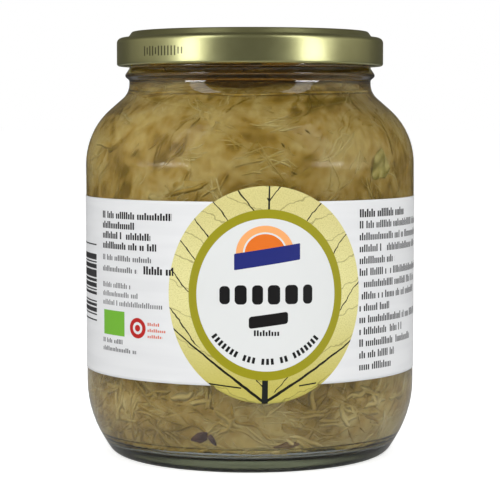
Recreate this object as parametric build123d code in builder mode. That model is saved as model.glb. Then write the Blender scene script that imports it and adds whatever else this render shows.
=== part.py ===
from build123d import *
import os
from math import cos, pi, radians, sin, tan

# A glass jar of shredded cabbage in brine. A twist-off tinplate cap closes it, and one die-cut
# paper label with an oval badge is wrapped round its body.
# Millimetres. The origin is the middle of the base, +Z is up, and the badge faces -Y.

# ---- Glass jar ----------------------------------------------------------------------------
body_diameter = 97.0
jar_height = 121.9  # up to the sealing rim
neck_diameter = 71.3
wall = 2.6
floor_height = 5.0  # top of the glass floor above the table
base_inset = 7.75  # how far the base's corner lies inside the body's side
heel_angle = 31.8  # the heel's slope, from upright
heel_radius = 32.0
base_radius = 4.6  # rounding between the heel and the bearing ring
bearing_width = 4.5
push_up = 2.0  # hollow under the base
floor_radius = 6.0  # rounding inside, between the floor and the heel
shoulder_angle = 48.8  # the shoulder's slope, from upright
shoulder_radius = 21.2
neck_radius = 5.7  # rounding between the shoulder and the neck
neck_drop = 3.64  # from the bead's root down to where the slope and the neck would meet
rim_radius = 1.0

# Transfer bead: the ring below the cap by which the hot jar is carried
bead_gap = 2.9  # below the cap's foot
bead_reach = 1.5
bead_below = 1.2
bead_above = 2.2
bead_root_radius = 0.8
bead_tip_radius = 0.9

# Interrupted thread, one short ridge for each of the cap's lugs
lug_count = 6
thread_drop = 5.3  # below the rim
thread_reach = 1.8
thread_height = 1.8
thread_arc = 46.0
thread_slope = 2.5

# ---- Twist-off cap ------------------------------------------------------------------------
sheet = 0.3
skirt_clearance = 0.25  # between the thread's crest and the rolled edge
hem_width = 1.6  # the rolled edge at the skirt's foot, across the roll
hem_height = 1.7
hem_radius = 0.7
compound = 0.3  # sealing compound between the rim and the cap's shoulder
cap_corner_radius = 1.6
ring_height = 1.8  # the raised ring above the cap's shoulder
ring_width = 1.4
ring_step = 1.3  # width of each sloping side of the ring
ring_inset = 0.85  # from the neck's outer face in to the ring's top
panel_drop = 1.5  # the middle panel below the raised ring
button_radius = 11.0
button_drop = 0.3
button_step = 1.5
press_radius = 0.7  # rounding of the pressed steps
lug_arc = 14.0
lug_clearance = 0.4  # between a lug and the neck
lug_play = 0.1  # between a lug and the ridge above it
lug_height = 1.0
lug_rise = 0.2  # from the cap's foot up to a lug

# ---- Contents -----------------------------------------------------------------------------
headspace = 5.9  # from the brine up to the rim

# ---- Label --------------------------------------------------------------------------------
paper = 0.15
label_rise = 4.2  # from the heel's end up to the band
band_height = 50.5
badge_width = 55.6  # measured along the paper
badge_height = 59.7
badge_drop = 0.25  # the badge's middle below the band's middle
badge_turn = 5.5  # the badge's middle, turned from -Y towards +X
seam_gap = 3.0  # bare glass between the label's two ends
outline_points = 24

body_r = body_diameter / 2
neck_r = neck_diameter / 2
mouth_r = neck_r - wall
base_r = body_r - base_inset
brine_level = jar_height - headspace
lean = radians(heel_angle)
slope = radians(shoulder_angle)

# Heights, from the rim down: thread, lugs, the cap's foot, the bead and the top of the shoulder
thread_z = jar_height - thread_drop
lug_fall = tan(radians(thread_slope)) * neck_r * sin(radians(lug_arc / 2))
lug_top = thread_z - thread_height / 2 - lug_fall - lug_play
foot_z = lug_top - lug_height - lug_rise
bead_z = foot_z - bead_gap
neck_z = bead_z - bead_below - neck_drop
shoulder_corner_z = neck_z - (body_r - neck_r) / tan(slope)
heel_corner_z = base_inset / tan(lean)

# The roundings at both ends of the shoulder's slope shrink together if the slope is too short.
slope_length = (body_r - neck_r) / sin(slope)
ease = min(1, 0.95 * slope_length / ((shoulder_radius + neck_radius) * tan(slope / 2)))


def side(inset):
    """Corners of the jar's side, heel to neck, this far inside the glass's outer face, each with
    its rounding."""
    corners = [
        (body_r - inset, heel_corner_z + inset * tan(lean / 2)),
        (body_r - inset, shoulder_corner_z - inset * tan(slope / 2)),
        (neck_r - inset, neck_z - inset * tan(slope / 2)),
    ]
    radii = [
        heel_radius - inset,
        ease * shoulder_radius - inset,
        ease * neck_radius + inset,
    ]
    return corners, radii


def inside():
    """Corners and roundings of the glass's inner face, from the neck down to the floor. The heel's
    rounding gives way where it would run into the floor's."""
    corners, radii = side(wall)
    floor_r = base_r + floor_height * tan(lean) - wall / cos(lean)
    heel_length = (body_r - wall - floor_r) / sin(lean)
    room = 0.98 * heel_length - floor_radius * tan((pi / 2 - lean) / 2)
    radii[0] = min(radii[0], room / tan(lean / 2))
    corners = corners[::-1] + [(floor_r, floor_height), (0, floor_height)]
    return corners, radii[::-1] + [floor_radius]


# One ridge of the thread, lying across +X: an oval bead carried part of the way round the neck,
# then tipped so that it climbs.
with BuildPart() as ridge:
    with BuildSketch(Plane.XZ):
        with Locations((neck_r, 0)):
            Ellipse(thread_reach, thread_height / 2)
    revolve(axis=Axis.Z, revolution_arc=thread_arc)
ridge_place = Location((0, 0, thread_z), (thread_slope, 0, 0))
ridge_turn = Location((0, 0, 0), (0, 0, -thread_arc / 2))
tipped_ridge = ridge.part.moved(ridge_place * ridge_turn)

# The glass: one outline from the bearing ring up the outside, over the rim and down the inside.
outer_corners, outer_radii = side(0)
inner_corners, inner_radii = inside()
bead_corners = [
    (neck_r, bead_z - bead_below),
    (neck_r + bead_reach, bead_z),
    (neck_r, bead_z + bead_above),
]
with BuildPart() as jar:
    with BuildSketch(Plane.XZ):
        with BuildLine():
            FilletPolyline(
                (base_r - bearing_width, 0),
                (base_r, 0),
                *outer_corners,
                *bead_corners,
                (neck_r, jar_height),
                (mouth_r, jar_height),
                *inner_corners,
                radius=[
                    base_radius,
                    *outer_radii,
                    bead_root_radius,
                    bead_tip_radius,
                    bead_root_radius,
                    rim_radius,
                    rim_radius,
                    *inner_radii,
                ],
            )
            Line((0, floor_height), (0, push_up))
            TangentArc((0, push_up), (base_r - bearing_width, 0), tangent=(1, 0))
        make_face()
    revolve(axis=Axis.Z)
    with PolarLocations(0, lug_count):
        add(tipped_ridge)
jar.part.label = "jar"

# The contents fill the glass from its floor to the brine's level, wall to wall.
with BuildPart() as sauerkraut:
    with BuildSketch(Plane.XZ):
        with BuildLine():
            FilletPolyline((mouth_r, brine_level), *inner_corners, radius=inner_radii)
            Polyline((0, floor_height), (0, brine_level), (mouth_r, brine_level))
        make_face()
    revolve(axis=Axis.Z)
sauerkraut.part.label = "sauerkraut"

# The cap: one pressed sheet, its foot rolled inwards, with lugs pressed in under the thread.
shoulder_z = jar_height + compound + sheet
skirt_r = neck_r + thread_reach + skirt_clearance + hem_width
ring_r = neck_r - ring_inset
ring_z = shoulder_z + ring_height
panel_z = ring_z - panel_drop
panel_r = ring_r - ring_width - ring_step

with BuildPart() as lug:
    with BuildSketch(Plane.XZ):
        with Locations((neck_r + lug_clearance, foot_z + lug_rise)):
            Rectangle(
                thread_reach + skirt_clearance - lug_clearance + sheet / 2,
                lug_height,
                align=(Align.MIN, Align.MIN),
            )
    revolve(axis=Axis.Z, revolution_arc=lug_arc)
centred_lug = lug.part.moved(Location((0, 0, 0), (0, 0, -lug_arc / 2)))

with BuildPart() as lid:
    with BuildSketch(Plane.XZ):
        with BuildLine():
            FilletPolyline(
                (0, panel_z - button_drop),
                (button_radius - button_step, panel_z - button_drop),
                (button_radius, panel_z),
                (panel_r, panel_z),
                (panel_r + ring_step, ring_z),
                (ring_r, ring_z),
                (ring_r + ring_step, shoulder_z),
                (skirt_r, shoulder_z),
                (skirt_r, foot_z),
                (skirt_r - hem_width, foot_z),
                (skirt_r - hem_width, foot_z + hem_height),
                radius=[
                    press_radius,
                    press_radius,
                    press_radius,
                    press_radius,
                    press_radius,
                    press_radius,
                    cap_corner_radius,
                    hem_radius,
                    hem_radius,
                ],
            )
            offset(amount=sheet, side=Side.RIGHT)
        make_face()
    revolve(axis=Axis.Z)
    with BuildSketch(Plane.XZ):
        with BuildLine():
            Polyline(
                (ring_r - ring_width, jar_height),
                (neck_r, jar_height),
                (neck_r, shoulder_z - sheet / 2),
                (ring_r + ring_step, shoulder_z - sheet / 2),
                (ring_r, ring_z - sheet / 2),
                (ring_r - ring_width, ring_z - sheet / 2),
                close=True,
            )
        make_face()
    revolve(axis=Axis.Z)
    with PolarLocations(0, lug_count):
        add(centred_lug)
lid.part.label = "lid"

# The label's die: the band and the badge, less the gap between the label's two ends.
# The badge is an oval on flat paper, so seen square on it is narrowed by the body's curve.
heel_end = heel_corner_z + heel_radius * tan(lean / 2)
band_bottom = heel_end + label_rise
badge_centre = band_bottom + band_height / 2 - badge_drop
badge_way = radians(badge_turn)
badge_plane = Plane(
    origin=(0, 0, badge_centre),
    x_dir=(cos(badge_way), sin(badge_way), 0),
    z_dir=(sin(badge_way), -cos(badge_way), 0),
)
seam_plane = Plane(
    origin=(0, 0, badge_centre),
    x_dir=(-cos(badge_way), -sin(badge_way), 0),
    z_dir=(-sin(badge_way), cos(badge_way), 0),
)
turns = [2 * pi * i / outline_points for i in range(outline_points)]
outline = [
    (body_r * sin(badge_width / 2 * cos(t) / body_r), badge_height / 2 * sin(t)) for t in turns
]
with BuildPart() as die:
    with Locations((0, 0, band_bottom)):
        Cylinder(body_diameter, band_height, align=(Align.CENTER, Align.CENTER, Align.MIN))
    with BuildSketch(badge_plane):
        with BuildLine():
            Spline(outline, periodic=True)
        make_face()
    extrude(amount=body_diameter)
    with BuildSketch(seam_plane):
        Rectangle(seam_gap, 2 * band_height)
    extrude(amount=2 * body_diameter, mode=Mode.SUBTRACT)

# The label: a skin of paper on the jar's side, cut to the die.
with BuildPart() as label:
    with BuildSketch(Plane.XZ):
        for inset, mode in ((-paper, Mode.ADD), (0, Mode.SUBTRACT)):
            skin_corners, skin_radii = side(inset)
            with BuildLine():
                FilletPolyline(
                    (base_r - inset / cos(lean), 0),
                    *skin_corners,
                    (neck_r - inset, bead_z),
                    radius=skin_radii,
                )
                Polyline(
                    (neck_r - inset, bead_z),
                    (0, bead_z),
                    (0, 0),
                    (base_r - inset / cos(lean), 0),
                )
            make_face(mode=mode)
    revolve(axis=Axis.Z)
    add(die.part, mode=Mode.INTERSECT)
label.part.label = "label"

os.makedirs("parts", exist_ok=True)
export_step(jar.part, "parts/jar.step")
export_step(sauerkraut.part, "parts/sauerkraut.step")
export_step(lid.part, "parts/lid.step")
export_step(label.part, "parts/label.step")
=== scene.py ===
import math
import bpy
import numpy as np
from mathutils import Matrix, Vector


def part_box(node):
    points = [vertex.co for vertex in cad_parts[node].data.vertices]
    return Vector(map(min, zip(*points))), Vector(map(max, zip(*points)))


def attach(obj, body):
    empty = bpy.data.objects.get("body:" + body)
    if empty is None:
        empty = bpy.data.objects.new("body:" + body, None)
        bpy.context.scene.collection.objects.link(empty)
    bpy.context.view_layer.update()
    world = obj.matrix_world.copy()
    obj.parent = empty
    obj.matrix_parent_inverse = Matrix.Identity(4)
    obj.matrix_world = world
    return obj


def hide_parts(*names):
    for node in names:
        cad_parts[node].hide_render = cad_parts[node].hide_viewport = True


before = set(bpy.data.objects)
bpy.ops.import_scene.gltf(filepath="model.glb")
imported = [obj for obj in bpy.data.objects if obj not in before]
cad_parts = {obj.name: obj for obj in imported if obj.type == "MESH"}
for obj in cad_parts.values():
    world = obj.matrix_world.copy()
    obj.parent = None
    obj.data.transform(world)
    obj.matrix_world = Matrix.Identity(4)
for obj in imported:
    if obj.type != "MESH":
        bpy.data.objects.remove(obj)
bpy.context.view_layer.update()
mm = 0.001

# ---- Glass jar ----------------------------------------------------------------------------
# A clear glass jar, pressed and blown in a mould: hollow base, long soft heel, round shoulder,
# a short neck with a carrying bead, and six short thread ridges hidden under the cap.
jar_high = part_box("jar")[1]
body_r = jar_high.x
jar_top = jar_high.z
wall = 2.6 * mm
neck_r = 35.65 * mm
base_inset = 7.75 * mm
bearing_width = 4.5 * mm
push_up = 2.0 * mm
floor_z = 5.0 * mm
heel_lean = math.radians(31.8)
heel_radius = 32 * mm
inner_heel_radius = 29 * mm
base_radius = 4.6 * mm
floor_radius = 6 * mm
slope_lean = math.radians(48.8)
shoulder_radius = 21.2 * mm
neck_radius = 5.7 * mm
neck_z = 106.47 * mm
bead_z = 111.31 * mm
bead_reach = 1.5 * mm
ridge_z = 116.6 * mm
ridge_reach = 1.8 * mm
ridge_half = 0.9 * mm
ridge_count = 6
ridge_arc = math.radians(23)
ridge_climb = math.tan(math.radians(2.5))
glass_columns = 204
glass_step = 0.9 * mm
glass_wave = 0.10 * mm


def rounded(corners, radii):
    """A path through the corners, each inner corner replaced by an arc that touches both of its
    lines: it starts radius * tan(half the turn) before the corner, with its centre square to the
    line there, and has a point about every 6 degrees."""
    corners = np.asarray(corners, float)
    path = [corners[:1]]
    for before, corner, after, radius in zip(corners, corners[1:], corners[2:], radii):
        come = (corner - before) / np.linalg.norm(corner - before)
        leave = (after - corner) / np.linalg.norm(after - corner)
        turn = math.acos(np.clip(come @ leave, -1, 1))
        start = corner - come * radius * math.tan(turn / 2)
        side = leave - come * (come @ leave)
        side /= np.linalg.norm(side)
        angle = np.linspace(0, turn, 2 + math.ceil(math.degrees(turn) / 6))[:, None]
        path.append(start + radius * (side * (1 - np.cos(angle)) + come * np.sin(angle)))
    path.append(corners[-1:])
    return np.concatenate(path)


def stepped(path, step):
    """The same path with points added along its straight runs, so that none is longer than step."""
    legs = np.linalg.norm(np.diff(path, axis=0), axis=1)
    travel = np.concatenate([[0], np.cumsum(legs)])
    counts = np.maximum(1, np.ceil(legs / step)).astype(int)
    places = [np.linspace(a, b, n, endpoint=False) for a, b, n in zip(travel, travel[1:], counts)]
    places = np.append(np.concatenate(places), travel[-1])
    return np.stack([np.interp(places, travel, path[:, k]) for k in (0, 1)], axis=1)


def ripple(a, b, seed, finest, waves=14):
    """Smooth unevenness of about -1 to 1 over two parameters: a sum of sine waves, each with its
    own whole number of crests round a, its own pace along b and its own phase."""
    draw = np.random.default_rng(seed)
    crests = draw.integers(-finest, finest + 1, waves)
    paces = draw.uniform(-finest, finest, waves)
    phases = draw.uniform(0, 2 * math.pi, waves)
    total = sum(np.sin(c * a + p * b + s) for c, p, s in zip(crests, paces, phases))
    return total / math.sqrt(2 * waves)


def solid(name, points, quads, triangles=()):
    """A smooth-shaded mesh object from an array of points and arrays of corner numbers."""
    triangles = np.asarray(triangles, int).reshape(-1, 3)
    corners = np.concatenate([quads.ravel(), triangles.ravel()]).astype(np.int32)
    starts = np.concatenate([
        np.arange(len(quads)) * 4,
        len(quads) * 4 + np.arange(len(triangles)) * 3,
    ])
    mesh = bpy.data.meshes.new(name)
    mesh.vertices.add(len(points))
    mesh.vertices.foreach_set("co", points.astype(np.float32).ravel())
    mesh.loops.add(len(corners))
    mesh.loops.foreach_set("vertex_index", corners)
    mesh.polygons.add(len(starts))
    mesh.polygons.foreach_set("loop_start", starts.astype(np.int32))
    mesh.update(calc_edges=True)
    mesh.shade_smooth()
    made = bpy.data.objects.new(name, mesh)
    bpy.context.scene.collection.objects.link(made)
    return made


def spun(name, r, z):
    """A closed surface turned about the jar's axis. r and z are grids with a row for each point
    of the profile and a column for each step round: x = r cos(turn), y = r sin(turn). The first
    and last rows lie on the axis and close into poles."""
    rows, columns = r.shape
    turn = np.linspace(0, 2 * math.pi, columns, endpoint=False)
    grid = np.stack([r * np.cos(turn), r * np.sin(turn), z + 0 * r], axis=-1)
    points = np.concatenate([grid[:1, 0], grid[1:-1].reshape(-1, 3), grid[-1:, 0]])
    ring = 1 + np.arange((rows - 2) * columns).reshape(rows - 2, columns)
    along = np.roll(ring, -1, axis=1)
    quads = np.stack([ring[:-1], along[:-1], along[1:], ring[1:]], axis=-1).reshape(-1, 4)
    foot = np.stack([0 * ring[0], along[0], ring[0]], axis=-1)
    head = np.stack([ring[-1], along[-1], 0 * ring[0] + len(points) - 1], axis=-1)
    return solid(name, points, quads, np.concatenate([foot, head]))


class Wire:
    """One socket of a material's node tree, with arithmetic: an expression on wires and numbers
    adds the Math nodes that it needs. node() adds any other kind of node."""

    def __init__(self, tree, socket=None):
        self.tree = tree
        self.socket = socket

    def node(self, kind, inputs=None, settings=None, output=0):
        """Adds a node, sets its settings, then fills its sockets with values or links."""
        made = self.tree.nodes.new("ShaderNode" + kind)
        settings = dict(settings or {})
        for place, colour in settings.pop("stops", {}).items():
            stop = made.color_ramp.elements.new(place)
            stop.color = colour
        for name, value in settings.items():
            if name == "blend":
                made.color_ramp.interpolation = value
            else:
                setattr(made, name, value)
        for key, value in (inputs or {}).items():
            if isinstance(value, Wire):
                self.tree.links.new(value.socket, made.inputs[key])
            else:
                made.inputs[key].default_value = value
        return Wire(self.tree, made.outputs[output] if made.outputs else None)

    def parts(self):
        """The three numbers that make up this vector."""
        made = self.node("SeparateXYZ", {0: self}).socket.node
        return [Wire(self.tree, socket) for socket in made.outputs]

    def math(self, operation, *values):
        """One Math node over these values."""
        return self.node("Math", dict(enumerate(values)), {"operation": operation})

    def __add__(self, other):
        return self.math("ADD", self, other)

    __radd__ = __add__

    def __sub__(self, other):
        return self.math("SUBTRACT", self, other)

    def __rsub__(self, other):
        return self.math("SUBTRACT", other, self)

    def __mul__(self, other):
        return self.math("MULTIPLY", self, other)

    __rmul__ = __mul__

    def __truediv__(self, other):
        return self.math("DIVIDE", self, other)

    def __mod__(self, other):
        return self.math("FLOORED_MODULO", self, other)

    def __floordiv__(self, other):
        return self.math("FLOOR", self / other)

    def __pow__(self, other):
        return self.math("POWER", self, other)

    def __abs__(self):
        return self.math("ABSOLUTE", self)

    def __lt__(self, other):
        return self.math("LESS_THAN", self, other)

    def __gt__(self, other):
        return self.math("GREATER_THAN", self, other)

    def __or__(self, other):
        return self.math("MAXIMUM", self, other)

    def __and__(self, other):
        return self.math("MINIMUM", self, other)

    def ramp(self, low, high):
        """0 below low, 1 above high, and a straight line between."""
        sockets = {0: self, 1: low, 2: high, 3: 0.0, 4: 1.0}
        return self.node("MapRange", sockets, {"clamp": True})

    def mix(self, first, second):
        """The first colour where this wire is 0, the second where it is 1."""
        return self.node("Mix", {0: self, 6: first, 7: second}, {"data_type": "RGBA"}, output=2)

    def noise(self, scale, detail=2.0, rough=0.5, stretch=(1, 1, 1)):
        """Even noise, 0 to 1, over this vector wire, stretched along its axes."""
        spread = self.node("Mapping", {0: self, 3: stretch})
        sockets = {"Vector": spread, "Scale": scale, "Detail": detail, "Roughness": rough}
        return spread.node("TexNoise", sockets)

    def bump(self, distance, strength=1.0):
        """A normal from this wire as a height, in metres at full strength."""
        return self.node("Bump", {"Height": self, "Distance": distance, "Strength": strength})


def material(name):
    """A new empty material, and a wire to build its nodes from."""
    made = bpy.data.materials.new(name)
    made.use_nodes = True
    made.node_tree.nodes.clear()
    return made, Wire(made.node_tree)


def srgb(red, green, blue):
    """A colour given as screen values from 0 to 255, as the linear values that nodes take."""
    parts = np.array([red, green, blue]) / 255
    linear = np.where(parts <= 0.04045, parts / 12.92, ((parts + 0.055) / 1.055) ** 2.4)
    return (*linear.tolist(), 1.0)


def side_corners(inset):
    """Corners of the jar's side, heel, shoulder and neck, this far inside the outer face."""
    slope_rise = (body_r - neck_r) / math.tan(slope_lean)
    return [
        (body_r - inset, base_inset / math.tan(heel_lean) + inset * math.tan(heel_lean / 2)),
        (body_r - inset, neck_z - slope_rise - inset * math.tan(slope_lean / 2)),
        (neck_r - inset, neck_z - inset * math.tan(slope_lean / 2)),
    ]


def inner_path(inset, top):
    """The glass's inner face from the middle of its floor up to a height in the neck, moved this
    much further out into the glass."""
    base_r = body_r - base_inset
    floor_r = base_r + floor_z * math.tan(heel_lean) - wall / math.cos(heel_lean)
    corners = [(0, floor_z - inset), (floor_r + inset * math.tan(heel_lean / 2), floor_z - inset)]
    corners += side_corners(wall - inset)
    corners.append((neck_r - wall + inset, top))
    radii = [
        floor_radius + inset,
        inner_heel_radius + inset,
        shoulder_radius - wall + inset,
        neck_radius + wall - inset,
    ]
    return rounded(corners, radii)


base_r = body_r - base_inset
dome = np.linspace(0, 1, 14)[:, None] * [base_r - bearing_width, 0]
dome[:, 1] = push_up * (1 - (dome[:, 0] / (base_r - bearing_width)) ** 2)
outer_path = rounded(
    [
        tuple(dome[-1]),
        (base_r, 0),
        *side_corners(0),
        (neck_r, bead_z - 1.2 * mm),
        (neck_r + bead_reach, bead_z),
        (neck_r, bead_z + 2.2 * mm),
        (neck_r, jar_top),
        (neck_r - wall, jar_top),
        (neck_r - wall, jar_top - 2 * mm),
    ],
    [
        base_radius,
        heel_radius,
        shoulder_radius,
        neck_radius,
        0.8 * mm,
        0.9 * mm,
        0.8 * mm,
        1.0 * mm,
        1.0 * mm,
    ],
)
outside = stepped(np.concatenate([dome[:-1], outer_path]), glass_step)
inside = stepped(inner_path(0, jar_top - 2.4 * mm), glass_step)[::-1]
profile = np.concatenate([outside, inside])
turn = np.linspace(0, 2 * math.pi, glass_columns, endpoint=False)
glass_r = profile[:, :1] + 0 * turn
glass_z = profile[:, 1:] + 0 * turn
is_inside = (np.arange(len(profile)) >= len(outside))[:, None]

# Thread ridges: an oval swelling of the neck that climbs slightly along each ridge
from_ridge = (turn + math.pi / ridge_count) % (2 * math.pi / ridge_count) - math.pi / ridge_count
height = (glass_z - ridge_z - from_ridge * neck_r * ridge_climb) / ridge_half
swelling = ridge_reach * np.sqrt(np.clip(1 - height**2, 0, 1))
ridge_end = np.clip((ridge_arc - np.abs(from_ridge)) / math.radians(2), 0, 1)
at_neck = ~is_inside & (np.abs(profile[:, :1] - neck_r) < 0.01 * mm)
glass_r += np.where(at_neck, swelling * ridge_end, 0)

# The mould shapes the outside truly, but the inside is left a little uneven by the blowing.
uneven = ripple(turn, glass_z / (14 * mm), 5, 4) * glass_wave
fade = np.clip(profile[:, :1] / (20 * mm), 0, 1)
glass_r += np.where(is_inside, uneven * fade, 0)
glass_r += 0.02 * mm * ripple(turn, glass_z / (9 * mm), 6, 5) * fade * ~is_inside
glass = spun("glass_jar", glass_r, glass_z)


def clear(wire, tint, ior, lamps, absorb, density, rough=0.0, mirror=(1, 1, 1, 1), coat=0.0):
    """A clear material that bends what is seen through it and lets lamps shine straight in: the
    shader for shadow rays is a plain transparent one, tinted by lamps. Inside it, light fades
    towards the absorb colour at the given density per metre. mirror tints what it mirrors
    straight on, and coat adds a second, smooth mirroring skin."""
    bends = wire.node("BsdfPrincipled", {
        "Base Color": tint,
        "Roughness": rough,
        "IOR": ior,
        "Transmission Weight": 1.0,
        "Specular Tint": mirror,
        "Coat Weight": coat,
    })
    passes = wire.node("BsdfTransparent", {"Color": lamps})
    shadow = wire.node("LightPath", output=1)
    surface = wire.node("MixShader", {0: shadow, 1: bends, 2: passes})
    inside = wire.node("VolumeAbsorption", {"Color": absorb, "Density": density})
    wire.node("OutputMaterial", {"Surface": surface, "Volume": inside})


# The body's skin is slightly dulled by handling, while the neck and the heel keep a bright one.
glass_look, wire = material("clear_glass")
place = wire.node("TexCoord", output=3)
up = place.parts()[2]
below_neck = up.ramp(102 * mm, 97 * mm)
handled = below_neck * up.ramp(12 * mm, 26 * mm)
clear(
    wire,
    tint=(0.98, 0.99, 0.98, 1),
    ior=1.5,
    lamps=(0.97, 0.98, 0.97, 1),
    absorb=(0.70, 0.86, 0.76, 1),
    density=18.0,
    rough=below_neck * 0.09,
    mirror=(0.15, 0.15, 0.15, 1),
    coat=(1 - handled) * 0.6,
)
glass.data.materials.append(glass_look)
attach(glass, "root")
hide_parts("jar")

# ---- Brine --------------------------------------------------------------------------------
# Thin yellow-brown pickling brine that fills the glass to just under the cap. Its skin reaches
# slightly into the glass, so that no film of air shows between them.
brine_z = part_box("sauerkraut")[1].z
brine_reach = 0.35 * mm
brine_columns = 192
brine_path = stepped(inner_path(brine_reach, brine_z), 1.2 * mm)
brine_top = stepped(np.array([brine_path[-1], [0, brine_z]]), 3 * mm)
brine_path = np.concatenate([brine_path, brine_top[1:]])
brine = spun("brine", brine_path[:, :1] + np.zeros(brine_columns), brine_path[:, 1:])
brine_look, wire = material("brine")
clear(
    wire,
    tint=(1, 1, 1, 1),
    ior=1.33,
    lamps=(0.98, 0.97, 0.94, 1),
    absorb=(0.82, 0.70, 0.22, 1),
    density=100.0,
)
brine.data.materials.append(brine_look)
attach(brine, "root")
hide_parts("sauerkraut")

# ---- Packed cabbage -----------------------------------------------------------------------
# The mass of fermented white cabbage behind the outermost shreds: packed down, uneven, with shade
# painted darker into its hollows, and piled up to an uneven top just below the carrying bead.
heap_z = 110.0 * mm
heap_edge = 3.2 * mm
heap_radius = 7 * mm
heap_uneven = 1.3 * mm
uneven_reach = 9 * mm
heap_dip = 3.0 * mm
dip_turn = -1.66
dip_width = 0.17
core_depth = 1.5 * mm
core_uneven = 0.4 * mm
felt_relief = 0.8 * mm
felt_blur = 0.75
least_radius = 8 * mm
label_hides = (30 * mm, 71 * mm)
core_columns = 480
heap_side = stepped(inner_path(0, brine_z), 0.5 * mm)
heap_side = heap_side[heap_side[:, 1] < heap_z - heap_edge]
ahead = heap_side[-1] - heap_side[-2]
crest = heap_side[-1] + ahead * (heap_z - heap_side[-1, 1]) / ahead[1]
heap_top = rounded([heap_side[-1], crest, (0, heap_z)], [heap_radius])
heap = stepped(np.concatenate([heap_side[:-1], heap_top]), 0.5 * mm)
heap_travel = np.concatenate([[0], np.cumsum(np.linalg.norm(np.diff(heap, axis=0), axis=1))])
heap_slope = np.gradient(heap, heap_travel, axis=0)
heap_slope /= np.linalg.norm(heap_slope, axis=1)[:, None]


def along_heap(travel, values):
    """A value of the cabbage's outline at these distances along it, from the jar's floor."""
    return np.interp(travel, heap_travel, values)


def inside_heap(turn, travel, depth):
    """The points at these turns round the jar and distances along the cabbage's outline, moved
    in by depth square to it. The top of the heap rises and falls by a ripple, and has one dip
    at the front: heap_dip * exp(-(sin(half the turn from it) / dip_width) squared)."""
    r = along_heap(travel, heap[:, 0]) - depth * along_heap(travel, heap_slope[:, 1])
    z = along_heap(travel, heap[:, 1]) + depth * along_heap(travel, heap_slope[:, 0])
    dip = heap_dip * np.exp(-((np.sin((turn - dip_turn) / 2) / dip_width) ** 2)) * (r > 20 * mm)
    rise = heap_uneven * ripple(turn, r / (16 * mm), 13, 4) - dip
    z = z + rise * np.clip((z - heap_z + uneven_reach) / uneven_reach, 0, 1)
    r = np.maximum(r, 0)
    return np.stack([r * np.cos(turn), r * np.sin(turn), z], axis=-1)


def paths(draw, count, bundle, length, steps, reach):
    """Middle lines of limp strips laid over the cabbage's outline: the turn and distance along
    the outline are sums of cos(heading) and sin(heading). The heading is a smooth field over the
    jar plus a draw, and changes steadily along the strip with a slight waver. Strips come in
    bundles that share most of their draws. reach is the span of distances they start in, and
    most that would lie behind the label start below it instead."""
    shape = (count, 1)

    def per_bundle(values):
        return np.repeat(values, bundle)[:count].reshape(shape)

    bundles = -(-count // bundle)
    start = per_bundle(draw.uniform(*reach, bundles))
    height = along_heap(start, heap[:, 1])
    hidden = (height > label_hides[0]) & (height < label_hides[1])
    moved = per_bundle(draw.random(bundles) < 0.7) & hidden
    start = np.where(moved, heap_low + per_bundle(draw.uniform(0, 1, bundles)) * low_band, start)
    turn = per_bundle(draw.uniform(0, 2 * math.pi, bundles))
    field = 1.3 * ripple(turn, start / (30 * mm), 31, 3, 9)
    heading = field + per_bundle(draw.normal(0.9, 0.6, bundles)) + draw.normal(0, 0.16, shape)
    if bundle > 1:
        start = start + draw.normal(0, 1.5 * mm, shape)
        turn = turn + draw.normal(0, 1.5 * mm, shape) / body_r
    spans = length[0] + (length[1] - length[0]) * draw.beta(1.5, 2.5, shape)
    share = np.linspace(-0.5, 0.5, steps)
    bend = per_bundle(draw.normal(0, 0.8, bundles)) * spans / (14 * mm)
    heading = heading + bend * share + draw.normal(0, 0.25, shape) * np.sin(9 * share + 9 * turn)
    forward = np.cumsum(np.sin(heading), axis=1) * spans / (steps - 1)
    sideways = np.cumsum(np.cos(heading), axis=1) * spans / (steps - 1)
    travel = start + forward - forward.mean(1, keepdims=True)
    radius = np.maximum(along_heap(travel, heap[:, 0]), least_radius)
    turn = turn + (sideways - sideways.mean(1, keepdims=True)) / radius
    return turn, travel, heading, spans


# Felted relief of the mass: strips pressed into one soft surface. Each grid point takes the
# height and shade of the highest strip over it, and both are then blurred a little.
heap_low = 38 * mm
low_band = 26 * mm
heap_high = heap_travel[-1] - least_radius
felt_strips = 9000
felt_step = 0.58 * mm
draw = np.random.default_rng(40)
felt_turn, felt_travel, felt_heading, spans = paths(
    draw, felt_strips, 4, (10 * mm, 40 * mm), 96, (heap_low, heap_high)
)
felt_high = draw.random((felt_strips, 1, 1))
felt_shade = draw.random((felt_strips, 1, 1))
half_wide = draw.uniform(0.3 * mm, 1.5 * mm, (felt_strips, 1, 1))
side = np.linspace(-1, 1, 9)
order = np.argsort(felt_high.ravel())
to_side = side * half_wide
at_travel = felt_travel[..., None] + to_side * np.cos(felt_heading)[..., None]
at_turn = felt_turn[..., None] - to_side * np.sin(felt_heading)[..., None] / (46 * mm)
felt_rows = int(heap_travel[-1] / felt_step)
row = np.clip(at_travel / felt_step, 0, felt_rows - 1).astype(int)[order]
column = (at_turn / (2 * math.pi) * core_columns).astype(int)[order] % core_columns
relief = np.zeros((felt_rows, core_columns))
shades = np.full((felt_rows, core_columns), 0.35)
relief[row, column] = (felt_high * (0.75 + 0.25 * (1 - side**2)) + 0 * row)[order]
shades[row, column] = (felt_shade + 0 * row)[order]
across_rows = np.fft.fftfreq(felt_rows)[:, None]
across_columns = np.fft.fftfreq(core_columns)
blur = np.exp(-2 * math.pi**2 * felt_blur**2 * (across_rows**2 + across_columns**2))
relief = np.fft.ifft2(np.fft.fft2(relief) * blur).real
shades = np.fft.ifft2(np.fft.fft2(shades) * blur).real

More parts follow.
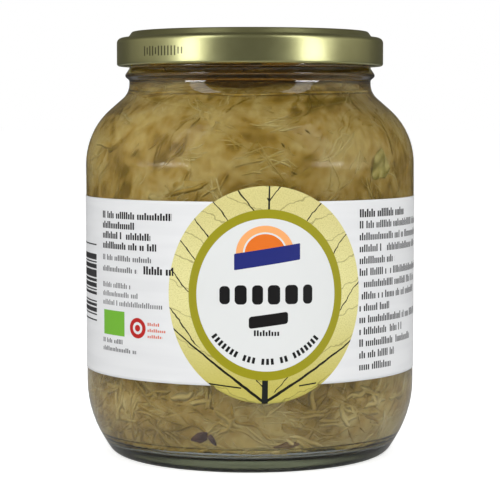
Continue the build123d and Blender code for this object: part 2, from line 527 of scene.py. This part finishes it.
core_travel = (np.arange(felt_rows) * felt_step)[:, None]
turn = np.linspace(0, 2 * math.pi, core_columns, endpoint=False)
lumps = core_uneven * ripple(turn, core_travel / (24 * mm), 11, 11)
height = along_heap(core_travel, heap[:, 1])
settled = np.clip((height - 5 * mm) / (6 * mm), 0.15, 1)
felt_depth = np.maximum(core_depth * settled - lumps - felt_relief * relief * settled, 0.2 * mm)
radius = along_heap(core_travel, heap[:, 0])
# One row in four is enough behind the label, and in the middle of the floor and the top.
plain = ((height > label_hides[0]) & (height < label_hides[1] + 1 * mm)) | (radius < 24 * mm)
keep = np.flatnonzero(~plain.ravel() | (np.arange(felt_rows) % 4 == 0))
core_points = inside_heap(turn, core_travel[keep], felt_depth[keep])
core_r = np.hypot(core_points[..., 0], core_points[..., 1])
core_r[[0, -1]] = 0
core = spun("packed_cabbage", core_r, core_points[..., 2])
for name, values in {"shade": shades, "relief": relief}.items():
    values = values[keep]
    values = np.concatenate([values[0, :1], values[1:-1].ravel(), values[-1, :1]])
    layer = core.data.attributes.new(name, "FLOAT", "POINT")
    layer.data.foreach_set("value", values.astype(np.float32))


def cabbage(name, tones, soft, spread, loose):
    """Wet cabbage: soft patches between three colours from golden hollows to pale leaf, a little
    shade of its own for each strip, fine fibres along it, and light carried inside it. On the
    packed mass, shade is also painted in: the colour turns towards the hollow tone where its
    felted relief sinks back."""
    hollow, middle, pale = tones
    look, wire = material(name)
    place = wire.node("TexCoord", output=3)
    shade = wire.node("Attribute", settings={"attribute_name": "shade"}, output=2)
    patch = place.noise(75, 2, 0.5)
    cloud = place.noise(260, 2, 0.5)
    tone = (patch - 0.5) * 2.6 + (cloud - 0.5) * 0.9 + (shade - 0.5) * 0.5 + 0.5
    if loose:
        flat = wire.node("UVMap", settings={"uv_map": "grain"})
        fibre = flat.noise(1.0, 2, 0.6, (0.12, 1.7, 1))
    else:
        fibre = place.noise(800, 3, 0.6, (1, 1, 0.5))
        relief = wire.node("Attribute", settings={"attribute_name": "relief"}, output=2)
        # Painted shade: the packed mass turns darker, towards the hollow colour, where its felted
        # relief sinks back from the glass.
        tone = tone + (relief - 0.6) * 0.8
    colour = tone.ramp(0.05, 0.5).mix(hollow, middle)
    colour = tone.ramp(0.45, 0.95).mix(colour, pale)
    colour = (fibre.ramp(0.4, 0.75) * 0.3).mix(colour, hollow)
    shader = wire.node("BsdfPrincipled", {
        "Base Color": colour,
        "Roughness": 0.5,
        "Specular IOR Level": 0.1,
        "Subsurface Weight": soft,
        "Subsurface Radius": (1.0, 0.9, 0.6),
        "Subsurface Scale": spread,
        "Normal": fibre.bump(0.10 * mm),
    })
    wire.node("OutputMaterial", {"Surface": shader})
    return look


tones = srgb(122, 98, 30), srgb(164, 136, 68), srgb(187, 166, 110)
core_look = cabbage("packed_cabbage", tones, 1.0, 2.0 * mm, False)
core.data.materials.append(core_look)
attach(core, "root")

# ---- Cabbage shreds -----------------------------------------------------------------------
# White cabbage cut into ribbons and broad flakes, limp from the brine and pressed flat against
# the glass and each other in loose combed bundles. Each tapers, bends and twists a little.


def ringed(number):
    """Quads between neighbouring rings of point numbers, for an array of pieces, rings, points."""
    beside = np.roll(number, -1, axis=2)
    skin = [number[:, :-1], number[:, 1:], beside[:, 1:], beside[:, :-1]]
    return np.stack(skin, axis=-1).reshape(-1, 4)


def marked(made, shade, flat):
    """Gives a mesh the shade of each of its points, and a flat map in millimetres for fibres."""
    layer = made.data.attributes.new("shade", "FLOAT", "POINT")
    layer.data.foreach_set("value", shade.astype(np.float32).ravel())
    corners = np.empty(len(made.data.loops), np.int32)
    made.data.loops.foreach_get("vertex_index", corners)
    grain = made.data.uv_layers.new(name="grain")
    grain.data.foreach_set("uv", flat.reshape(-1, 2)[corners].astype(np.float32).ravel())


def laid(name, count, bundle, seed, length, width, thick, proud, sink, steps, sides, look, high):
    """Strips along drawn paths, each with an oval section: a section point stands across the
    path by half the width * cos(corner) and off it by half the thickness * sin(corner). Each
    stands proud of the felted mass by a draw from proud, and its edges sink by a draw up to
    sink. high is the furthest distance along the outline that they start at."""
    draw = np.random.default_rng(seed)
    shape = (count, 1, 1)
    drawn = paths(draw, count, bundle, length, steps, (heap_low, high))
    turn, travel, heading, spans = (values[..., None] for values in drawn)
    wide = width[0] + (width[1] - width[0]) * draw.beta(1.3, 2.6, shape)
    thick = thick * draw.uniform(0.7, 1.3, shape)
    share = np.linspace(-0.5, 0.5, steps)[:, None]
    corner = np.linspace(0, 2 * math.pi, sides, endpoint=False)
    taper = np.clip((0.5 - np.abs(share)) * 6, 0.15, 1) ** 0.6
    taper = taper * (1 + 0.12 * np.sin(14 * share + draw.uniform(0, 6, shape)))
    across = wide / 2 * taper * np.cos(corner)
    height = thick / 2 * np.clip(taper, 0.4, 1) * np.sin(corner)
    travel = travel + across * np.cos(heading)
    # What would run past either end of the outline is folded back.
    furthest = heap_high + 4 * mm
    travel = furthest - np.abs(furthest - travel)
    travel = least_radius + np.abs(travel - least_radius)
    radius = np.maximum(along_heap(travel, heap[:, 0]), least_radius)
    turn = turn - across * np.sin(heading) / radius
    row = np.clip(travel / felt_step, 0, felt_rows - 1).astype(int)
    lift = felt_depth[row, (turn / (2 * math.pi) * core_columns).astype(int) % core_columns]
    lift = lift.mean(2, keepdims=True)
    for _ in range(2):
        lift[:, 1:-1] = (lift[:, :-2] + 2 * lift[:, 1:-1] + lift[:, 2:]) / 4
    lift = lift - proud[0] - (proud[1] - proud[0]) * draw.beta(1.2, 1.6, shape)
    lift = lift + across * np.sin(draw.normal(0, 0.06, shape) + draw.normal(0, 0.2, shape) * share)
    lift = lift + sink * draw.random(shape) * (across / (wide / 2)) ** 2
    lift = np.maximum(lift, 0.1 * mm + thick / 2) - height
    points = inside_heap(turn, travel, lift)
    number = np.arange(count * steps * sides).reshape(count, steps, sides)
    fan = np.arange(1, sides - 1)
    ends = [number[:, 0], number[:, -1, ::-1]]
    tips = [np.stack([e[:, 0 * fan], e[:, fan], e[:, fan + 1]], axis=-1) for e in ends]
    tips = np.concatenate([tip.reshape(-1, 3) for tip in tips])
    made = solid(name, points.reshape(-1, 3), ringed(number), tips)
    shade = draw.random(shape) + 0 * number
    flat_across = across / mm + draw.uniform(0, 500, shape)
    marked(made, shade, np.stack([spans / mm * share + 0 * across, flat_across], axis=-1))
    made.data.materials.append(look)
    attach(made, "root")


leaf_look = cabbage("cabbage_leaf", tones, 0.5, 0.4 * mm, True)
strand_tones = srgb(156, 132, 68), srgb(178, 156, 96), srgb(198, 180, 130)
strand_look = cabbage("cabbage_strand", strand_tones, 0.2, 0.5 * mm, True)
laid(
    "leaf_pieces",
    count=160,
    bundle=1,
    seed=41,
    length=(6 * mm, 16 * mm),
    width=(2.0 * mm, 5.0 * mm),
    thick=0.14 * mm,
    proud=(-0.1 * mm, 0.05 * mm),
    sink=0.3 * mm,
    steps=12,
    sides=8,
    look=leaf_look,
    high=heap_high,
)
laid(
    "pressed_shreds",
    count=1000,
    bundle=3,
    seed=42,
    length=(8 * mm, 28 * mm),
    width=(0.6 * mm, 1.5 * mm),
    thick=0.2 * mm,
    proud=(-0.12 * mm, 0.06 * mm),
    sink=0.1 * mm,
    steps=13,
    sides=4,
    look=leaf_look,
    high=heap_high,
)
laid(
    "fine_shreds",
    count=1300,
    bundle=4,
    seed=43,
    length=(4 * mm, 16 * mm),
    width=(0.3 * mm, 0.75 * mm),
    thick=0.16 * mm,
    proud=(-0.06 * mm, 0.06 * mm),
    sink=0.0,
    steps=11,
    sides=4,
    look=strand_look,
    high=heap_high,
)
laid(
    "low_ribbons",
    count=300,
    bundle=2,
    seed=44,
    length=(5 * mm, 14 * mm),
    width=(1.0 * mm, 2.6 * mm),
    thick=0.22 * mm,
    proud=(-0.02 * mm, 0.15 * mm),
    sink=0.1 * mm,
    steps=13,
    sides=4,
    look=strand_look,
    high=heap_low + low_band,
)

# ---- Stray bits ---------------------------------------------------------------------------
# The odd pieces among the shreds: a purple-brown leaf bit and a brown one low down, a greenish
# crinkled leaf near the right shoulder, and a few small dark specks that are painted shade
# standing for small pits between the shreds, all pressed to the glass.
bit_depth = 0.42 * mm


def bits(name, seed, places, thick, crumple, tones):
    """Flat crumpled lumps, one for each (turn, height, length, width, tilt) in places, in degrees
    and millimetres: points of a ball (cos a * sin b, sin a * sin b, cos b) stretched to the
    lump's size, then rippled."""
    draw = np.random.default_rng(seed)
    ways, heights, lengths, widths, tilts = np.array(places).T[:, :, None, None]
    round_by = np.linspace(0, 2 * math.pi, 28, endpoint=False)
    down = np.linspace(0, math.pi, 15)[:, None]
    along = lengths * mm / 2 * np.cos(round_by) * np.sin(down)
    along = along * (1 + 0.25 * np.sin(3 * round_by + draw.uniform(0, 6, ways.shape)))
    across = widths * mm / 2 * np.sin(round_by) * np.sin(down)
    phase = draw.uniform(0, 6, ways.shape)
    folds = np.sin(along / (0.9 * mm) + 2.2 * np.sin(across / (0.8 * mm) + phase) + phase)
    depth = bit_depth - thick / 2 * np.cos(down) + crumple * folds
    depth = np.maximum(depth, 0.08 * mm)
    tilt = np.radians(tilts)
    wall = heap[:, 0] > 36 * mm
    travel = np.interp(heights * mm, heap[wall, 1], heap_travel[wall])
    travel = travel + along * np.sin(tilt) + across * np.cos(tilt)
    aside = along * np.cos(tilt) - across * np.sin(tilt)
    points = inside_heap(np.radians(ways - 90) + aside / (44 * mm), travel, depth)
    number = np.arange(points.size // 3).reshape(points.shape[:3])
    made = solid(name, points.reshape(-1, 3), ringed(number))
    flat = np.stack([along / mm, across / mm + 0 * along], axis=-1)
    marked(made, 0.5 + 0.5 * folds, flat)
    made.data.materials.append(cabbage(name, tones, 0.2, 0.3 * mm, True))
    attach(made, "root")


bits("purple_leaf_bits", 51, [(-18, 10.8, 5.2, 3.0, 24), (-13.8, 10.4, 3.6, 1.7, -58)], 0.5 * mm,
     0.15 * mm, (srgb(52, 34, 38), srgb(78, 52, 52), srgb(104, 76, 62)))
bits("brown_leaf_bits", 52, [(15, 8.8, 8.5, 2.4, 4)], 0.5 * mm,
     0.12 * mm, (srgb(70, 50, 34), srgb(98, 72, 46), srgb(122, 96, 62)))
bits("green_leaf_bits", 53, [(52, 85.5, 8.5, 7.5, 62)], 0.5 * mm,
     0.4 * mm, (srgb(96, 84, 30), srgb(134, 124, 62), srgb(180, 168, 108)))
# Painted shade: small dark specks where small pits between the shreds would show dark.
pit_shade_places = [(21, 95, 1.8, 0.6, -45), (11.5, 91.5, 1.5, 0.6, -60), (15, 84, 1.8, 0.5, -30)]
pit_shade_places += [(170, 93, 1.8, 0.7, 40), (120, 15, 1.6, 0.6, 0)]
bits("painted_pit_shade", 54, pit_shade_places, 0.3 * mm,
     0.05 * mm, (srgb(84, 68, 24), srgb(100, 82, 32), srgb(116, 96, 44)))

# ---- Label --------------------------------------------------------------------------------
# White half-gloss paper, die-cut as a band with an oval badge that stands out above and below
# it, wrapped once round the body with a narrow gap at the back. The print is plain fields of
# colour, simple shapes and rows of ticks that stand for small print, with a sheen painted on
# the badge's leaf ring at its middle height.
label_low, label_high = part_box("label")
paper = 0.15 * mm
glue_gap = 0.01 * mm
band_bottom = 25.82 * mm
band_top = band_bottom + 50.5 * mm
badge_z = (label_low.z + label_high.z) / 2
badge_half_high = (label_high.z - label_low.z) / 2
badge_half_wide = 27.8 * mm
badge_turn = math.radians(5.5)
seam_gap = 3.0 * mm
half_round = math.pi * body_r - seam_gap / 2
label_rows = 60

# Columns across the paper, closer at the badge's edge, and exactly at its two inner corners
band_share = (band_top - badge_z) / badge_half_high
corner_u = badge_half_wide * math.sqrt(1 - band_share**2)
columns_u = np.concatenate([
    np.linspace(-half_round, -corner_u, 110, endpoint=False),
    corner_u * np.sin(np.linspace(-math.pi / 2, math.pi / 2, 90)),
    np.linspace(corner_u, half_round, 111)[1:],
])
bulge = badge_half_high * np.sqrt(np.clip(1 - (columns_u / badge_half_wide) ** 2, 0, 1))
in_badge = np.abs(columns_u) < corner_u
edge_top = np.where(in_badge, np.maximum(bulge, band_top - badge_z), band_top - badge_z)
edge_low = np.where(in_badge, np.maximum(bulge, badge_z - band_bottom), badge_z - band_bottom)
share = np.linspace(0, 1, label_rows)[:, None]
rows_v = -edge_low + share * (edge_top + edge_low)
skin_path = stepped(rounded([(base_r, 0), *side_corners(0), (neck_r, bead_z)],
                            [heel_radius, shoulder_radius, neck_radius]), 0.3 * mm)
skin_r = np.interp(rows_v + badge_z, skin_path[:, 1], skin_path[:, 0])
label_turn = columns_u / body_r + badge_turn - math.pi / 2


def sheet_points(lift):
    """The paper's face this far off the glass, at each row and column."""
    r = skin_r + lift
    return np.stack([r * np.cos(label_turn), r * np.sin(label_turn), rows_v + badge_z], axis=-1)


rows, columns = rows_v.shape
front = np.arange(rows * columns).reshape(rows, columns)
back = front + rows * columns


def strip(a, b):
    """Quads that join two rows of point numbers."""
    return np.stack([a[:-1], a[1:], b[1:], b[:-1]], axis=-1).reshape(-1, 4)


faces = [strip(front[i], front[i + 1]) for i in range(rows - 1)]
faces += [strip(back[i + 1], back[i]) for i in range(rows - 1)]
faces += [strip(back[0], front[0]), strip(front[-1], back[-1])]
faces += [strip(front[:, 0], back[:, 0]), strip(back[:, -1], front[:, -1])]
quads = np.concatenate(faces)
sheet_grid = np.stack([sheet_points(paper), sheet_points(glue_gap)])
label = solid("label_paper", sheet_grid.reshape(-1, 3), quads)

# The paper's own map: millimetres along and up the flat sheet, from the badge's middle
flat_u = np.broadcast_to(columns_u / mm, rows_v.shape).ravel()
flat = np.stack([np.tile(flat_u, 2), np.tile((rows_v / mm).ravel(), 2)], axis=1)
flat_map = label.data.uv_layers.new(name="flat_sheet")
flat_map.data.foreach_set("uv", flat[quads.ravel()].astype(np.float32).ravel())

white = srgb(224, 225, 226)
ink = srgb(24, 23, 24)
grey_ink = srgb(96, 96, 98)

paper_look, wire = material("label_paper")
flat_place = wire.node("UVMap", settings={"uv_map": "flat_sheet"})
u, v, _ = flat_place.parts()
grain = flat_place.noise(3.0, 3, 0.6)


def block(cu, cv, wide, high, lean=0.0, round_by=0.1):
    """1 inside a block on the sheet, 0 outside: the distance to a smaller block is below round_by.
    lean tilts the block up to the right."""
    beside = (abs(u - cu) - (wide / 2 - round_by)) | 0
    above = (abs(v - cv - (u - cu) * lean) - (high / 2 - round_by)) | 0
    return (beside * beside + above * above) < round_by**2


def small_print(left, top, pitch, high, ends, pace, gap, fill=0.62):
    """Rows of short upright ticks with gaps between groups, as far as each row's own end. ends
    holds each row's length, up to longest."""
    longest = 60
    row = (top - v) // pitch
    down = (top - v) % pitch
    count = len(ends)
    stops = {i / count: (*[end / longest] * 3, 1) for i, end in enumerate(ends)}
    at_row = (row + 0.5) / count
    lengths = at_row.node("ValToRGB", {0: at_row}, {"stops": stops, "blend": "CONSTANT"})
    cell = (u - left) // pace
    where = cell.node("CombineXYZ", {0: cell, 1: row})
    chance = where.node("TexWhiteNoise", {"Vector": where}, {"noise_dimensions": "2D"}, output=0)
    tick = ((u - left) % pace) < pace * fill
    tall = high * (0.72 + 0.28 * (chance > 0.62))
    inside = (u > left) * (u - left < lengths * longest) * (row > -0.5) * (row < count - 0.5)
    return inside * tick * (chance > gap) * (down > high - tall) * (down < high)


# The badge: a ring of leaf, darker towards the bottom and paler at its middle height with a
# painted sheen, with a midrib, veins that slope down to it and two long ones from its foot;
# then an olive ring, and a white middle. oval is 1 on the badge's edge and less inside it.
oval = ((u / (badge_half_wide / mm)) ** 2.0 + (v / (badge_half_high / mm)) ** 2.0) ** 0.5
aside = abs(u - 0.022 * v)
right_side = u > 0
sway = (flat_place.noise(0.25, 2, 0.5) - 0.5) * 2.5
spaced = 11.0 + right_side * 7.7
slant = (v - aside * 1.2 + sway - 7.2) / spaced + 0.5
main_vein = abs(slant % 1.0 - 0.5) * spaced < 0.24
faint_slant = (v - aside * 0.45 + sway * 1.5 - 3.0) / 7.6
faint_vein = abs(faint_slant % 1.0 - 0.5) < 0.022
above_foot = v + 29.6 - aside * (0.76 - right_side * 0.12) + sway * 0.3
foot_vein = abs(above_foot) < 0.5 - aside * 0.01
along_twig = abs(aside - 11.0 - right_side) < 4.5 - right_side * 2
twig = (abs(v + 26.3 - aside * 0.12) < 0.2) * along_twig
midrib = aside < 0.53 - v * 0.011
# Painted sheen: the leaf turns paler towards its middle height; it is also darker towards the
# bottom.
leaf = (v / 60 + 0.5).ramp(0.08, 0.45).mix(srgb(190, 180, 92), srgb(225, 219, 154))
leaf = (v / 60 + 0.5).ramp(0.6, 0.9).mix(leaf, srgb(211, 202, 136))
leaf = (grain.ramp(0.45, 0.75) * 0.5).mix(leaf, srgb(150, 140, 66))
leaf = (faint_vein * 0.5).mix(leaf, srgb(110, 102, 50))
leaf = (main_vein * (above_foot > 1.0)).mix(leaf, srgb(40, 38, 24))
leaf = (foot_vein | twig).mix(leaf, srgb(26, 26, 20))
leaf = midrib.mix(leaf, srgb(28, 32, 30))
band_tint = flat_place.noise(1.0, 1, 0.5, (0.03, 0.3, 1)).ramp(0.4, 0.6) * 0.25
print_colour = band_tint.mix(white, srgb(209, 210, 212))
print_colour = (oval < 1.004).mix(print_colour, leaf)
print_colour = (oval < 0.786).mix(print_colour, srgb(149, 143, 22))
print_colour = (oval < 0.703).mix(print_colour, srgb(217, 219, 218))

# Inside the badge: an orange dome with a pale rim over a navy bar, six rounded black blocks, a
# tilted bar, a short line of ticks, and dashes in word-like groups that follow the ring.
from_dome = (((u + 0.5) ** 2.0) + ((v - 11.4) * 1.05) ** 2.0) ** 0.5
over_bar = v > 11.4 + 0.155 * u
rim = (from_dome < 8.0) * over_bar
print_colour = (rim * (from_dome > 6.1)).mix(print_colour, srgb(238, 166, 104))
print_colour = (rim * (from_dome < 5.6)).mix(print_colour, srgb(222, 112, 34))
print_colour = block(0.1, 10.5, 18.2, 4.5, 0.155, 0.3).mix(print_colour, srgb(34, 42, 116))
title = block(-11.6, 0.0, 2.9, 5.0, 0, 1.2)
for middle, wide in ((-7.2, 3.3), (-2.6, 3.0), (1.9, 3.4), (6.8, 3.6), (11.4, 2.7)):
    title = title | block(middle, 0.1, wide, 5.3, 0, 1.2)
print_colour = title.mix(print_colour, ink)
print_colour = block(0.4, -6.9, 10.8, 3.3, 0.13, 0.8).mix(print_colour, ink)
notes = small_print(-3.6, -9.6, 3.0, 1.6, [7.0], 0.8, 0.0, 0.66)
place_round = (u.math("ARCTAN2", u, 0 - v) + 0.93) / 0.0705
slot_number = place_round // 1.0
space = abs(slot_number - 7) < 0.5
for gap_at in (11, 15, 18):
    space = space | (abs(slot_number - gap_at) < 0.5)
dash = ((place_round % 1.0) < 0.6) * (place_round > 0) * (place_round < 26) * (1 - space)
from_middle = (u**2.0 + v**2.0) ** 0.5
motto = (abs(from_middle - 18.3) < 0.85) * dash
print_colour = (notes | motto).mix(print_colour, ink)

# The left panel: lines of small print, a green field, a red ring and a field of bars
left_bold = small_print(-54.9, 22.0, 2.87, 2.0, [28, 15, 21, 23], 0.9, 0.12, 0.7)
late_word = small_print(-36.4, 7.2, 3.0, 2.3, [10], 0.95, 0.1, 0.72)
print_colour = (left_bold | late_word).mix(print_colour, ink)
left_plain = small_print(-54.9, 9.7, 3.2, 1.6, [21.2, 16.1], 0.8, 0.12)
address = small_print(-54.9, 1.9, 2.5, 1.5, [13.7, 16.5, 25.4], 0.72, 0.1, 0.55)
left_foot = small_print(-54.9, -14.1, 2.3, 1.3, [10, 15.8], 0.75, 0.12)
print_colour = (left_plain | address | left_foot).mix(print_colour, grey_ink)
print_colour = block(-49.2, -9.6, 10.4, 7.0).mix(print_colour, srgb(112, 176, 52))
from_ring = ((u + 38.7) ** 2.0 + ((v + 10.3) * 1.05) ** 2.0) ** 0.5
ring_mask = (abs(from_ring - 2.4) < 0.62) | (from_ring < 1.0)
print_colour = ring_mask.mix(print_colour, srgb(180, 30, 26))
red_notes = small_print(-35.0, -8.5, 1.7, 0.9, [4, 6, 5], 0.7, 0.05)
print_colour = red_notes.mix(print_colour, srgb(206, 92, 62))
bars_at = (v // 0.42) * 0.37
bars = bars_at.node("TexWhiteNoise", {"W": bars_at}, {"noise_dimensions": "1D"}, output=0) > 0.48
bar_field = (u > -80.0) * (u < -59.6) * (abs(v - 0.95) < 11.2)
print_colour = (bars * bar_field).mix(print_colour, srgb(52, 52, 54))

# The right panel: fourteen lines of small print, the first one bold
right_bold = small_print(28.2, 23.0, 3.31, 2.3, [22], 0.9, 0.1, 0.72)
right = small_print(28.2, 19.7, 3.31, 2.1, [42, 44, 40, 16, 44, 34, 33, 13, 44, 21, 28, 16, 14],
                    0.84, 0.13)
print_colour = (right_bold | right).mix(print_colour, srgb(30, 30, 32))

paper_shader = wire.node("BsdfPrincipled", {
    "Base Color": print_colour,
    "Roughness": 0.45,
    "Specular IOR Level": 0.2,
    "Normal": grain.bump(0.02 * mm, 0.5),
})
wire.node("OutputMaterial", {"Surface": paper_shader})
label.data.materials.append(paper_look)
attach(label, "root")
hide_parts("label")

# ---- Twist-off cap ------------------------------------------------------------------------
# One pressed disc of tinplate with a gold lacquer: a sunk middle panel with a safety button, a
# raised ring over the glass's rim, and a smooth skirt whose foot is rolled inwards.
lid_low, lid_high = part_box("lid")
lid_r = lid_high.x
foot_z = lid_low.z
ring_z = lid_high.z
sheet = 0.3 * mm
shoulder_z = ring_z - 1.8 * mm
hem_wide = 1.6 * mm
hem_high = 1.7 * mm
panel_z = ring_z - 1.5 * mm
ring_r = neck_r - 0.85 * mm
panel_r = ring_r - 2.7 * mm
lug_reach = 1.65 * mm
lid_columns = 288


def offset_corners(corners, radii, distance):
    """Corners moved to the left of the path by distance, along each corner's bisector, with the
    roundings that keep the two paths parallel."""
    corners = np.asarray(corners, float)
    legs = np.diff(corners, axis=0)
    legs /= np.linalg.norm(legs, axis=1)[:, None]
    left = np.stack([-legs[:, 1], legs[:, 0]], axis=1)
    first, second = left[:-1], left[1:]
    reach = distance / (1 + (first * second).sum(1, keepdims=True))
    moved = corners[1:-1] + (first + second) * reach
    turns = legs[:-1, 0] * legs[1:, 1] - legs[:-1, 1] * legs[1:, 0]
    ends = [corners[0] + left[0] * distance, corners[-1] + left[-1] * distance]
    new_radii = np.maximum(np.asarray(radii) - distance * np.sign(turns), 0.05 * mm)
    return np.concatenate([ends[:1], moved, ends[1:]]), new_radii


press = 0.7 * mm
lid_corners = [
    (lid_r - hem_wide, foot_z + hem_high),
    (lid_r - hem_wide, foot_z),
    (lid_r, foot_z),
    (lid_r, shoulder_z),
    (ring_r + 1.3 * mm, shoulder_z),
    (ring_r, ring_z),
    (ring_r - 1.4 * mm, ring_z),
    (panel_r, panel_z),
    (11 * mm, panel_z),
    (9.5 * mm, panel_z - 0.3 * mm),
    (0, panel_z - 0.3 * mm),
]
lid_radii = [hem_wide * 0.45, hem_wide * 0.45, 1.6 * mm, press, press, press, press, press, press]
under_corners, under_radii = offset_corners(lid_corners, lid_radii, sheet)
over = stepped(rounded(lid_corners, lid_radii), 1.5 * mm)
under = stepped(rounded(under_corners, under_radii), 1.5 * mm)[::-1]
lid_profile = np.concatenate([under, over])
turn = np.linspace(0, 2 * math.pi, lid_columns, endpoint=False)
lid_r_grid = lid_profile[:, :1] + 0 * turn
lid_z_grid = lid_profile[:, 1:] + 0 * turn

# Six lugs: the rolled edge's inner side is pressed in towards the neck
from_lug = (turn + math.pi / ridge_count) % (2 * math.pi / ridge_count) - math.pi / ridge_count
pressed = np.clip((math.radians(8) - np.abs(from_lug)) / math.radians(1.5), 0, 1)
near_hem = np.abs(lid_profile[:, :1] - lid_r + hem_wide) < 0.35 * mm
hem_inner = near_hem & (lid_profile[:, 1:] < foot_z + 2 * mm)
lid_r_grid -= np.where(hem_inner, pressed * lug_reach * 0.8, 0)
lid = spun("gold_cap", np.maximum(lid_r_grid, 0), lid_z_grid)

lid_look, wire = material("gold_tinplate")
place = wire.node("TexCoord", output=3)
peel = place.noise(260, 2, 0.5)
rub = place.noise(70, 4, 0.6)
dents = place.noise(60, 1, 0.5, (1, 1, 0.6))
colour = rub.ramp(0.3, 0.7).mix(srgb(191, 191, 137), srgb(203, 203, 149))

# A stamped code on the skirt, as a row of dark ticks; lid_u is the distance round the skirt
lid_x, lid_y, lid_z = place.parts()
lid_u = lid_x.math("ARCTAN2", lid_x, 0 - lid_y) * (lid_r / mm)
cell = (lid_u + 34.0) / 1.16
number = cell // 1.0
chance = number.node("TexWhiteNoise", {"W": number}, {"noise_dimensions": "1D"}, output=0)
stamp = ((cell % 1.0) < 0.42) * (cell > 0) * (cell < 13)
stamp = stamp * (abs(lid_z / mm - 117.9) < 0.95 + 0.4 * (chance > 0.5))
colour = (stamp * 0.8).mix(colour, srgb(40, 38, 28))
lid_shader = wire.node("BsdfPrincipled", {
    "Base Color": colour,
    "Metallic": 1.0,
    "Roughness": rub.ramp(0.2, 0.8) * 0.06 + 0.31,
    "Coat Weight": 0.25,
    "Coat Roughness": 0.12,
    "Normal": (peel * 0.15 + dents).bump(0.2 * mm, 0.6),
})
wire.node("OutputMaterial", {"Surface": lid_shader})
lid.data.materials.append(lid_look)
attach(lid, "root")
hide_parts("lid")

# ---- Floor and light ----------------------------------------------------------------------
# A wide matt white floor in an evenly white room. Two tall soft lamps and two low cards stand in
# front at either side and show as highlights on the cap and the neck. A lamp overhead and a low
# one in front only fill the shade.
floor_size = 12.0
floor_points = np.array([[-1, -1, 0], [1, -1, 0], [1, 1, 0], [-1, 1, 0]]) * floor_size
floor = solid("floor", floor_points, np.array([[0, 1, 2, 3]]))
floor_look, wire = material("floor")
place = wire.node("TexCoord", output=3)
away = place.node("VectorMath", {0: place}, {"operation": "LENGTH"}, output=1)
behind = place.parts()[1].ramp(-0.03, 0.06)


def rays(wire):
    """Three wires that are 1 for what the camera sees directly, in a mirroring surface and
    through a clear one, and 0 for everything else."""
    path = wire.node("LightPath").socket.node
    return [Wire(wire.tree, path.outputs[name]) for name in (
        "Is Camera Ray",
        "Is Glossy Ray",
        "Is Transmission Ray",
    )]


# The floor is white. Only its mirror image far from the jar, and what clear surfaces show of it
# in front of the jar, are set darker, so that the glass keeps its dark edges.
shown, mirrored, bent = rays(wire)
albedo = mirrored * (away.ramp(0.5, 0.2) * 0.37 + 0.08) + bent * (behind * 0.35 + 0.35)
albedo = albedo + (1 - (mirrored | bent)) * 0.86
floor_shader = wire.node("BsdfPrincipled", {
    "Base Color": albedo,
    "Roughness": 0.9,
    "Emission Color": (1, 1, 1, 1),
    "Emission Strength": shown * 0.65,
})
wire.node("OutputMaterial", {"Surface": floor_shader})
floor.data.materials.append(floor_look)

world = bpy.data.worlds.new("white_room")
world.use_nodes = True
world.node_tree.nodes.clear()
bpy.context.scene.world = world
wire = Wire(world.node_tree)
shown, mirrored, bent = rays(wire)
across, back, _ = wire.node("TexCoord").parts()
sides = abs(across).ramp(0.75, 0.97)
from_back = back.ramp(-0.4, 0.4) * 0.14 + back.ramp(0.92, 0.985) * 0.2
room = mirrored * (sides * 0.34 + 0.09)
room = room + bent * (from_back + sides * 0.2 + 0.09)
room = room + (1 - (mirrored | bent)) * 0.45
strength = shown + (1 - shown) * room
tint = mirrored.mix((1, 1, 1, 1), (1, 0.94, 0.8, 1))
tint = bent.mix(tint, (1, 0.87, 0.62, 1))
sky = wire.node("Background", {"Color": tint, "Strength": strength})
wire.node("OutputWorld", {"Surface": sky})


def lamp(name, azimuth, distance, height, wide, high, power, mirrored):
    """A soft rectangular lamp facing the jar's middle; azimuth 0 is straight in front. mirrored
    says whether shiny surfaces show it."""
    data = bpy.data.lights.new(name, "AREA")
    data.shape = "RECTANGLE"
    data.size = wide
    data.size_y = high
    data.energy = power
    made = bpy.data.objects.new(name, data)
    bpy.context.scene.collection.objects.link(made)
    side = math.radians(azimuth)
    made.location = (distance * math.sin(side), -distance * math.cos(side), height)
    made.rotation_euler = (math.pi / 2 - math.atan2(height - 0.06, distance), 0, side)
    made.visible_glossy = mirrored
    made.visible_transmission = False
    return made


lamp("left_soft", -50, 1.1, 0.75, 0.36, 1.3, 5.5, True)
lamp("right_soft", 52, 1.1, 0.75, 0.4, 1.3, 5.5, True)
lamp("top_soft", 0, 0.2, 1.2, 0.8, 0.8, 2.2, False)
lamp("low_soft", 0, 1.1, 0.06, 0.8, 0.12, 1.6, False)
lamp("left_card", -52, 1.1, 0.14, 0.40, 0.05, 1.0, True)
lamp("right_card", 54, 1.1, 0.14, 0.46, 0.05, 1.1, True)

# ---- Camera -------------------------------------------------------------------------------
# A long lens a little over half a metre in front of the jar, level with the top of its shoulder
# and tipped slightly down, so that the cap is seen edge on and the base a little from above.
camera_data = bpy.data.cameras.new("camera")
camera_data.lens = 136.6
camera_data.sensor_width = 36
camera = bpy.data.objects.new("camera", camera_data)
bpy.context.scene.collection.objects.link(camera)
camera.location = (0, -0.564, 0.0998)
camera.rotation_euler = (math.radians(90 - 4.06), 0, 0)
bpy.context.scene.camera = camera
bpy.context.scene.view_settings.view_transform = "Standard"
